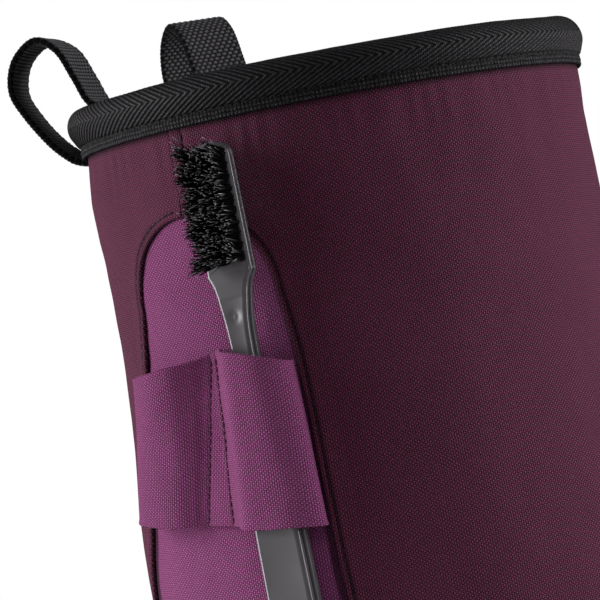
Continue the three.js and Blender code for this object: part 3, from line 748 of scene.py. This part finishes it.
def build_webbing():
    material, tree, shader = new_material("black webbing")
    cloth = node(tree, "ShaderNodeUVMap", uv_map="threads").outputs[0]
    fine = node(tree, "ShaderNodeTexWave", {"Vector": cloth, "Scale": 1.7, "Distortion": 0.8,
                                             "Detail": 2.0}, bands_direction="X")
    lint = node(tree, "ShaderNodeTexNoise", {"Vector": cloth, "Scale": 1.6, "Detail": 5.0})
    # The yarns are painted between a shaded and a lit grey, and the gaps between the bumps and the
    # edges are painted nearly black as shade.
    lit = between(tree, lint.outputs[0], (0.08, 0.074, 0.082), (0.36, 0.34, 0.37))
    yarns = between(tree, fine.outputs[1], (0.04, 0.037, 0.042), lit)
    crease_shading = node(tree, "ShaderNodeAttribute", attribute_name="crease_shade").outputs["Fac"]
    tree.links.new(maths(tree, "MULTIPLY_ADD", crease_shading, 0.5, 0.5), shader.inputs["Roughness"])
    tree.links.new(between(tree, crease_shading, yarns, (0.0004, 0.0003, 0.0005)),
                   shader.inputs["Base Color"])
    bump = node(tree, "ShaderNodeBump", {"Strength": 0.6, "Distance": 0.08 * MM,
                                          "Height": fine.outputs[1]})
    tree.links.new(bump.outputs[0], shader.inputs["Normal"])
    shader.inputs["Specular IOR Level"].default_value = 0.14
    return material


webbing_black = build_webbing()


def basket_height(s, t):
    """Bumps of the webbing, s along and t across it."""
    row = math.floor(s / PICK)
    along = abs(math.sin(math.pi * s / PICK))
    wave = 0.5 + 0.5 * math.cos(math.tau * (t / BUMP_PAIR + 0.5 * (row % 2)))
    return 0.34 * along**0.8 * (0.12 + 0.88 * wave**0.7)


def webbing_section():
    """Outline across the webbing: share of the width, share of half the thickness, 1 or -1 on
    an edge, and how far the bumps push it out or in."""
    section = [(k / FACE_COLUMNS - 0.5, 1.0, 0.0, 1.0) for k in range(FACE_COLUMNS + 1)]
    section += [(0.5, 0.5, 1.0, 0.3), (0.5, -0.5, 1.0, -0.3)]
    section += [(0.5 - k / FACE_COLUMNS, -1.0, 0.0, -1.0) for k in range(FACE_COLUMNS + 1)]
    section += [(-0.5, -0.5, -1.0, -0.3), (-0.5, 0.5, -1.0, 0.3), (-0.5, 1.0, 0.0, 1.0)]
    return section


WEBBING_OUTLINE = webbing_section()
for name, solid, angle, rise, reach, lean in (
    ("webbing_brush_side", "webbing_loop_brush_side", 111.5, 0.96 * 23, 1.06 * 16, 0.12),
    ("webbing_far_side", "webbing_loop_far_side", 64.5, 1.03 * 23, 1.12 * 16, -0.03),
):
    path = run_through(webbing_line(rise, reach), WEBBING_STEPS)
    length = sum((q - p).length for p, q in zip(path, path[1:]))

    def webbing_point(a, b, path=path, length=length, angle=angle, lean=lean):
        i = round(b * WEBBING_STEPS)
        at = path[i]
        along = path[min(i + 1, WEBBING_STEPS)] - path[max(i - 1, 0)]
        out = Vector((along.y, -along.x)).normalized()
        share, side, edge, swell = WEBBING_OUTLINE[round(a * (len(WEBBING_OUTLINE) - 1))]
        s = length * b
        offset = WEBBING_WIDTH * share
        weave = basket_height(s, offset + 20) * (1 - abs(2 * share) ** 14 * 0.6)
        tooth = 0.07 * abs(math.sin(math.pi * s / PICK))
        offset += edge * (0.2 + tooth) + tooth * (2 * share) ** 9
        free = max(0.0, min(1.0, (at.x - 65.1) / 13.2))
        free = free * free * (3 - 2 * free)
        turn = angle + math.degrees(offset / at.x)
        thick = side * WEBBING_HALF + swell * weave
        # Painted shade in the gaps between the bumps and along the edges.
        in_shade = min(1.0, 1.15 * max(0.0, 1 - weave / 0.3) + 0.3 * abs(edge))
        return polar(at.x - offset * lean * free + out.x * thick, turn, at.y + out.y * thick), in_shade

    loop = woven_grid(
        name, len(WEBBING_OUTLINE) - 1, WEBBING_STEPS, webbing_point,
        lambda a, b, length=length: (a * 33, b * length), webbing_black)
    bm = bmesh.new()
    bm.from_mesh(loop.data)
    bmesh.ops.holes_fill(bm, edges=[e for e in bm.edges if e.is_boundary], sides=0)
    bm.to_mesh(loop.data)
    bm.free()
    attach(loop, "root")
    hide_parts(solid)

# Holder. One band of the lighter cloth, sewn into both seams of the side patch and twice through
# beside the brush, which makes an open loop on the left and a close one round the handle.
BRUSH_TOP = 147.5
BRUSH_FOOT = 10.0
HOLDER_TOP = 98.9
HOLDER_HIGH = 41.0
OPEN_LOOP = 8.4
HOLDER_CLOTH = 0.9
HOLDER_BAND = (
    ("back", 0.6, 0.6, 0.07, 0.89, 0, 0), ("back", 1.4, 3.2, 0.07, 0.9, 0.34, 0.36),
    ("middle", -17.9, -21.6, 0.06, 0.92, 0.7, 0.68),
    ("middle", -12.5, -15.2, 0.05, 0.95, 0.87, 0.64),
    ("middle", -7.5, -10.9, 0.04, 0.97, 0.7, 0.46), ("middle", -3.2, -8.2, 0.03, 0.975, 0.3, 0.2),
    ("middle", 0.2, -6.4, 0.01, 0.98, 0, 0), ("middle", 2.2, 1.6, 0, 1.01, 0, 0),
    ("brush", 6.4, 5.0, -0.01, 1.02, 0.34, 0.34), ("brush", 10.2, 8.6, 0.01, 1.04, 0.93, 0.93),
    ("brush", 13.4, 13.0, 0.035, 1.055, 1.03, 1.03), ("front", 4, 4.4, 0.075, 1.07, 1, 1),
    ("front", 0, 0, 0.125, 1.09, 0.62, 0.62), ("front", 0.6, 0.6, 0.125, 1.09, 0, 0),
)
HOLDER_SEAMS = ((181.2, 174.3), (183.0, 181.7))
HOLDER_STEPS = 240
HOLDER_ROWS = 84


def brush_turn(z):
    """Degrees from the middle of the patch to the brush, which leans."""
    return 12.1 + 2.5 * (BRUSH_TOP - z) / (BRUSH_TOP - BRUSH_FOOT)


BRUSH_STAND = max(
    body_radius(180 + brush_turn(z), z) - 2 * (BRUSH_TOP - z) / (BRUSH_TOP - BRUSH_FOOT)
    for z in [BRUSH_FOOT + (BRUSH_TOP - BRUSH_FOOT) * k / 24 for k in range(25)])


def brush_back(z):
    """Radius of the back of the brush, which rests on the fullest part of the cloth."""
    return BRUSH_STAND + 0.6 + 2 * (BRUSH_TOP - z) / (BRUSH_TOP - BRUSH_FOOT)


def holder_station(station, down):
    """A point of the band at a station, which tells what it is measured from, its degrees at the
    top and foot, its drops in band heights and its lifts in loop depths."""
    kind, top, foot, top_drop, foot_drop, top_lift, foot_lift = station
    z = HOLDER_TOP - HOLDER_HIGH * (top_drop + (foot_drop - top_drop) * down)
    turn = top + (foot - top) * down
    if kind == "back":
        turn -= edge_turn(BACK_EDGE, z)
    if kind == "front":
        turn = edge_turn(FRONT_EDGE, z) - turn
    angle = 180 + turn
    cloth = body_radius(angle, z)
    depth = OPEN_LOOP if kind in ("back", "middle") else brush_back(z) + 6.2 - cloth + 0.6
    lift = (top_lift + (foot_lift - top_lift) * down) * depth
    return polar(cloth + 0.6 + HOLDER_CLOTH / 2 + lift, angle, z)


holder_rows = [
    run_through([holder_station(s, 1 - k / HOLDER_ROWS) for s in HOLDER_BAND], HOLDER_STEPS)
    for k in range(HOLDER_ROWS + 1)]


def holder_middle(i, k):
    """Middle of the band at step i of row k, and its outward direction."""
    row = holder_rows[k]
    at = row[i]
    angle = math.degrees(math.atan2(at.y, at.x)) % 360
    along = row[min(i + 1, HOLDER_STEPS)] - row[max(i - 1, 0)]
    out = Vector((along.y, -along.x, 0)).normalized()
    least = body_radius(angle, at.z) + 0.35 + HOLDER_CLOTH / 2
    if math.hypot(at.x, at.y) < least:
        at = polar(least, angle, at.z)
    return at, out


def stitch_angle(line, z):
    """Where a line of stitches through the holder lies at a height."""
    top, foot = line
    return top + (foot - top) * (HOLDER_TOP - z) / HOLDER_HIGH


def holder_point(a, b):
    i, k = round(a * HOLDER_STEPS), round(b * HOLDER_ROWS)
    at, out = holder_middle(i, k)
    angle = math.degrees(math.atan2(at.y, at.x)) % 360
    dent = sum(
        math.exp(-(((angle - stitch_angle(line, at.z)) / 0.55) ** 2)) for line in HOLDER_SEAMS)
    loose = min(1.0, 4 * a, 4 * (1 - a))
    lift = HOLDER_CLOTH / 2 + loose * 0.35 * noise.noise(at / 9)
    edge = min(b, 1 - b) * HOLDER_HIGH
    lift += 0.22 * math.exp(-((edge / 1.1) ** 2)) - 0.3 * dent
    # The stitched dents are sunk and also painted in shade.
    return at + out * lift, 0.4 * dent


holder_band = woven_grid(
    "holder_band", HOLDER_STEPS, HOLDER_ROWS, holder_point,
    lambda a, b: (a * 78, b * 41), light_cloth)
add_thickness(holder_band, HOLDER_CLOTH)
rounding = holder_band.modifiers.new("rounded edge", "BEVEL")
rounding.width = 0.3 * MM
rounding.segments = 2
rounding.limit_method = "ANGLE"
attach(holder_band, "root")
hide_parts("brush_holder")

purple_thread = thread_material("purple thread", (0.05, 0.01, 0.033), (0.17, 0.04, 0.12))
bm = bmesh.new()
for seam in HOLDER_SEAMS:
    line = []
    for k in range(1, HOLDER_ROWS, 4):
        spots = [holder_middle(i, k) for i in range(HOLDER_STEPS // 3, HOLDER_STEPS * 3 // 4)]
        at, out = min(spots, key=lambda spot: abs(
            math.degrees(math.atan2(spot[0].y, spot[0].x)) % 360 - stitch_angle(seam, spot[0].z)))
        line.append(at + out * (HOLDER_CLOTH / 2 - 0.05))
    sew(bm, line, from_axis, 1.9, 0.32)
holder_stitching = to_piece("holder_stitching", bm, purple_thread)
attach(holder_stitching, "root")

# Brush. A moulded dark grey handle, satin on its face and glossy on its rounded edges, with a
# groove along each side, painted dark as shade, and a small dimple below the head.
HEAD_LENGTH = 31.0
HEAD_WIDTH = 12.0
HEAD_THICK = 3.6
NOSE = 3.84
NECK, GRIP, GRIP_THICK = 5.6, 11.6, 6.2
HANDLE_SHAPE = (
    (0.0, 1.143, 0), (0.03, 0.6, 0.3), (0.075, 0.28, 0.5), (0.12, 0.08, 0.6), (0.18, 0, 0.62),
    (0.26, 0.07, 0.66), (0.38, 0.45, 0.8), (0.5, 0.83, 0.95), (0.6, 0.97, 1), (0.88, 1, 1),
    (0.95, 0.8, 0.9), (0.985, 0.4, 0.6), (1, 0, 0.1),
)
brush_top_at = polar(brush_back(BRUSH_TOP), 180 + brush_turn(BRUSH_TOP), BRUSH_TOP)
brush_foot_at = polar(brush_back(BRUSH_FOOT), 180 + brush_turn(BRUSH_FOOT), BRUSH_FOOT)
brush_down = (brush_foot_at - brush_top_at).normalized()
brush_out = polar(1, 180 + brush_turn(76.4), 0)
brush_out = (brush_out - brush_down * brush_out.dot(brush_down)).normalized()
brush_wide = brush_out.cross(brush_down)
brush_length = (brush_foot_at - brush_top_at).length
HANDLE_ROWS = 380
FACE_STEPS = 26
DIMPLE_AT = 41.6
FOOT_ROUND = 2.2
SATIN, GLOSSY, GROOVE_SHADE = 0.0, 1.0, 2.0


def handle_size(along):
    """Width and thickness of the handle at a distance from the top of its head."""
    if along < NOSE:
        round_end = (1 - (1 - along / NOSE) ** 2.3) ** (1 / 2.3)
        return HEAD_WIDTH * round_end, HEAD_THICK * (0.55 + 0.45 * round_end)
    if along < HEAD_LENGTH:
        return HEAD_WIDTH, HEAD_THICK
    share = (along - HEAD_LENGTH) / (brush_length - HEAD_LENGTH)
    wide = eased([(row[0], row[1]) for row in HANDLE_SHAPE], share)
    thick = eased([(row[0], row[2]) for row in HANDLE_SHAPE], share)
    left = max(0.0, 1 - (brush_length - along) / FOOT_ROUND)
    foot = math.sqrt(max(0.0, 1 - left * left))
    return ((NECK + (GRIP - NECK) * wide) * foot,
            (HEAD_THICK + (GRIP_THICK - HEAD_THICK) * thick) * (0.5 + 0.5 * foot))


def handle_outline():
    """Half outline from the middle of the face round to the middle of the back: share of the
    half width, millimetres in from the side, share of thickness, and millimetres above it."""
    half = [(k / FACE_STEPS, k / FACE_STEPS, 1.0, 0.0) for k in range(FACE_STEPS + 1)]
    for degrees in (18, 36, 54, 72, 90):
        turn = math.radians(degrees)
        half.append((1.0, 1 - math.sin(turn), 1.0, -(1 - math.cos(turn))))
    half += [(1.0, 0.0, 0.7, 0), (1.0, 0.1, 0.67, 0), (1.0, 0.75, 0.64, 0), (1.0, 0.8, 0.46, 0),
             (1.0, 0.1, 0.42, 0), (1.0, 0.0, 0.39, 0)]
    for degrees in (90, 60, 30, 0):
        turn = math.radians(degrees)
        half.append((1.0, 1 - math.sin(turn), 0.0, 1 - math.cos(turn)))
    half += [(0.5, 0.5, 0.0, 0.0), (0.0, 0.0, 0.0, 0.0)]
    return half


HALF_OUTLINE = handle_outline()
HANDLE_OUTLINE = [(1, *p) for p in HALF_OUTLINE] + [(-1, *p) for p in HALF_OUTLINE[-2::-1]]


def handle_point(a, b):
    """A point of the handle, and its finish in place of a crease shade, with painted shade in the
    grooves.
    """
    along = brush_length * (1 - b)
    if along < 2 * NOSE:
        along = 2 * NOSE * (along / (2 * NOSE)) ** 1.6
    wide, thick = handle_size(along)
    side, share, inset, up, off = HANDLE_OUTLINE[round(a * (len(HANDLE_OUTLINE) - 1))]
    corner = min(1.0, wide * 0.3, thick * 0.3)
    x = side * max(0.0, share * wide / 2 - inset * corner)
    y = up * thick + off * corner
    if up == 1.0:
        dimple = math.hypot(x, along - DIMPLE_AT)
        if dimple < 2.6:
            y -= 0.3 * math.exp(-((dimple - 0.6) ** 2))
        if along > HEAD_LENGTH + 6:
            y -= 0.22 * (1 - (2 * x / max(wide, 1)) ** 2)
    finish_and_shade = GLOSSY if share == 1.0 else SATIN
    if inset > 0.7 and 0 < up < 1:
        finish_and_shade = GROOVE_SHADE
    return brush_top_at + brush_down * along + brush_wide * x + brush_out * y, finish_and_shade


def build_handle_plastic():
    material, tree, shader = new_material("dark grey plastic")
    where = node(tree, "ShaderNodeTexCoord").outputs["Object"]
    grain = node(tree, "ShaderNodeTexNoise", {"Vector": where, "Scale": 1500.0, "Detail": 3.0})
    haze = node(tree, "ShaderNodeTexNoise", {"Vector": where, "Scale": 90.0, "Detail": 4.0})
    finish_and_shade = node(tree, "ShaderNodeAttribute", attribute_name="crease_shade").outputs["Fac"]
    grey = between(tree, haze.outputs[0], (0.085, 0.078, 0.088), (0.115, 0.106, 0.119))
    # The grooves along the sides are painted nearly black as shade.
    in_groove = maths(tree, "SUBTRACT", finish_and_shade, GLOSSY)
    tree.links.new(between(tree, in_groove, grey, (0.003, 0.003, 0.003)),
                   shader.inputs["Base Color"])
    rough = maths(tree, "MULTIPLY_ADD", haze.outputs[0], 0.16, 0.3)
    rough = maths(tree, "MAXIMUM", maths(tree, "MULTIPLY_ADD", finish_and_shade, -0.2, rough), 0.1)
    tree.links.new(rough, shader.inputs["Roughness"])
    shader.inputs["Specular IOR Level"].default_value = 0.6
    bump = node(tree, "ShaderNodeBump", {"Strength": 0.25, "Distance": 0.03 * MM,
                                          "Height": grain.outputs[0]})
    tree.links.new(bump.outputs[0], shader.inputs["Normal"])
    return material


brush_body = woven_grid(
    "brush_body", len(HANDLE_OUTLINE) - 1, HANDLE_ROWS, handle_point,
    lambda a, b: (a * 30, b * brush_length), build_handle_plastic())
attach(brush_body, "root")
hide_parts("brush_handle")

# Bristles. Black nylon strands, bundled in tufts that are set into the head in three rows; they
# lean and bend a little, and many tips are painted pale as highlights.
TUFT_ROWS, TUFTS_IN_ROW, STRANDS = 3, 10, 105
TUFT_RADIUS = 1.5
FIELD_WIDTH = 10.2
FIELD_ASIDE = 0.6
STRAND_LONG = 8.4
STRAND_GAUGE = 0.085
STRAND_CUTS = 2
FIELD_MARGIN = 1.7


def build_bristle():
    material, tree, shader = new_material("black nylon")
    out_at = node(tree, "ShaderNodeUVMap", uv_map="strand").outputs[0]
    tip = node(tree, "ShaderNodeSeparateXYZ", {0: out_at})
    # Pale tips painted on as highlights.
    tip_highlight = maths(tree, "MULTIPLY", tip.outputs[0], maths(tree, "POWER", tip.outputs[1], 5.0))
    tree.links.new(between(tree, tip_highlight, (0.0015, 0.0015, 0.0018), (0.8, 0.78, 0.82)),
                   shader.inputs["Base Color"])
    shader.inputs["Roughness"].default_value = 0.45
    shader.inputs["Specular IOR Level"].default_value = 0.08
    return material


bm = bmesh.new()
bmesh.ops.create_cone(
    bm, cap_ends=True, segments=4, radius1=STRAND_GAUGE, radius2=STRAND_GAUGE * 0.8, depth=1.0,
    matrix=Matrix.Translation((0, 0, 0.5)))
upright = [e for e in bm.edges if abs(e.verts[0].co.z - e.verts[1].co.z) > 0.5]
bmesh.ops.subdivide_edges(bm, edges=upright, cuts=STRAND_CUTS)
strand_uv = bm.loops.layers.uv.new("strand")
template = bm.verts[:] + bm.edges[:] + bm.faces[:]
head_seat = brush_top_at + brush_out * HEAD_THICK
pitch_across = (FIELD_WIDTH - 2 * TUFT_RADIUS) / (TUFT_ROWS - 1)
pitch_along = (HEAD_LENGTH - 2 * FIELD_MARGIN - 2 * TUFT_RADIUS) / (TUFTS_IN_ROW - 1)
for row in range(TUFT_ROWS):
    for place in range(TUFTS_IN_ROW):
        tuft_x = (row - (TUFT_ROWS - 1) / 2) * pitch_across + FIELD_ASIDE
        tuft_down = FIELD_MARGIN + TUFT_RADIUS + place * pitch_along
        tuft_lean = Vector((shaken.gauss(0.03 * (row - 1), 0.05), shaken.gauss(0, 0.06)))
        tuft_long = STRAND_LONG * shaken.uniform(0.93, 1.0)
        for _ in range(STRANDS):
            reach, around = math.sqrt(shaken.random()), shaken.uniform(0, math.tau)
            near = Vector((math.cos(around), math.sin(around))) * reach
            foot = Vector((tuft_x + near.x * 1.35, tuft_down + near.y * 1.5))
            stray = 1.9 if shaken.random() < 0.07 else 1.0
            shake = Vector((shaken.gauss(0, 0.05), shaken.gauss(0, 0.05)))
            lean = tuft_lean + near * 0.05 + shake * stray
            bend = Vector((shaken.gauss(0, 0.35), shaken.gauss(0, 0.35))) * stray
            if place == 0:
                lean.y -= 0.14 * shaken.random()
                bend.y -= 0.9 * shaken.random()
            long = tuft_long * shaken.uniform(0.86, 1.03)
            # How much painted highlight this strand's tip takes.
            tip_highlight = max(0.0, (shaken.random() - 0.62) / 0.38)
            made = bmesh.ops.duplicate(bm, geom=template)["geom"]
            for item in made:
                if isinstance(item, bmesh.types.BMVert):
                    t = item.co.z
                    x = foot.x + lean.x * long * t + bend.x * t * t + item.co.x
                    down = foot.y + lean.y * long * t + bend.y * t * t + item.co.y
                    item.co = (head_seat + brush_wide * x + brush_down * down
                               + brush_out * (long * t - 0.2)) * MM
                    item.index = round(t * (STRAND_CUTS + 1))
                elif isinstance(item, bmesh.types.BMFace):
                    for loop in item.loops:
                        loop[strand_uv].uv = (tip_highlight, loop.vert.index / (STRAND_CUTS + 1))
bmesh.ops.delete(
    bm, geom=[v for v in template if isinstance(v, bmesh.types.BMVert)], context="VERTS")
brush_tufts = to_piece("brush_tufts", bm, build_bristle())
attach(brush_tufts, "root")
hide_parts("brush_bristles")

# Floor. A pale matt disc under the bag, wide enough for its shadow, and a little below the base
# so that the two never meet.
bm = bmesh.new()
bmesh.ops.create_circle(bm, cap_ends=True, segments=128, radius=0.285,
                        matrix=Matrix.Translation((0, 0, -0.0004)))
pale, tree, shader = new_material("pale matt floor")
where = node(tree, "ShaderNodeTexCoord").outputs["Object"]
dust = node(tree, "ShaderNodeTexNoise", {"Vector": where, "Scale": 30.0})
tree.links.new(between(tree, dust.outputs[0], (0.84, 0.84, 0.84), (0.88, 0.88, 0.88)),
               shader.inputs["Base Color"])
shader.inputs["Roughness"].default_value = 0.7
floor = to_piece("floor", bm, pale)
floor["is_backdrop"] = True

# Studio. White surroundings that light the bag softly, a large softbox on each side, and a weak
# fill from the front; the camera stands a metre away.
world = bpy.data.worlds.new("white surroundings")
bpy.context.scene.world = world
world.use_nodes = True
tree = world.node_tree
seen = tree.nodes["Background"]
seen.inputs[0].default_value = (1, 1, 1, 1)
seen.inputs[1].default_value = 1.0
lighting = node(tree, "ShaderNodeBackground", {0: (1, 1, 1, 1), 1: 0.11})
chosen = node(tree, "ShaderNodeMixShader", {
    0: node(tree, "ShaderNodeLightPath").outputs["Is Camera Ray"],
    1: lighting.outputs[0], 2: seen.outputs[0]})
tree.links.new(chosen.outputs[0], tree.nodes["World Output"].inputs["Surface"])

for name, azimuth, height, distance, wide, high, watts in (
    ("left softbox", 129, 0.28, 0.85, 0.55, 0.8, 10.0),
    ("right softbox", 309, 0.26, 0.85, 0.55, 0.8, 8.5),
    ("front fill", 222, 0.6, 1.3, 0.7, 0.5, 2.2),
):
    data = bpy.data.lights.new(name, "AREA")
    data.shape = "RECTANGLE"
    data.size, data.size_y, data.energy = wide, high, watts
    lamp = bpy.data.objects.new(name, data)
    lamp.location = polar(distance, azimuth, height)
    lamp.rotation_euler = (Vector((0, 0, 0.1)) - lamp.location).to_track_quat("-Z", "Y").to_euler()
    lamp.visible_camera = False
    bpy.context.scene.collection.objects.link(lamp)

VIEW_TURN = math.radians(-51)
ROLL = math.radians(10.7)
EYE_HEIGHT = 0.085
AIM_HEIGHT = 0.1085
AIM_ASIDE = -0.0165
toward = Vector((math.sin(VIEW_TURN), -math.cos(VIEW_TURN), 0))
rightward = Vector((math.cos(VIEW_TURN), math.sin(VIEW_TURN), 0))
stand = toward + Vector((0, 0, EYE_HEIGHT))
aim = rightward * AIM_ASIDE + Vector((0, 0, AIM_HEIGHT))
forward = (aim - stand).normalized()
level = forward.cross(Vector((0, 0, 1))).normalized()
upward = level.cross(forward)
cam_right = level * math.cos(ROLL) - upward * math.sin(ROLL)
cam_up = level * math.sin(ROLL) + upward * math.cos(ROLL)
lens = bpy.data.cameras.new("camera")
lens.lens = 240
lens.sensor_width = 36
lens.clip_start = 0.01
camera = bpy.data.objects.new("camera", lens)
camera.matrix_world = Matrix((
    (cam_right.x, cam_up.x, -forward.x, stand.x), (cam_right.y, cam_up.y, -forward.y, stand.y),
    (cam_right.z, cam_up.z, -forward.z, stand.z), (0, 0, 0, 1)))
bpy.context.scene.collection.objects.link(camera)
bpy.context.scene.camera = camera
bpy.context.scene.view_settings.view_transform = "Standard"

low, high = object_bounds()
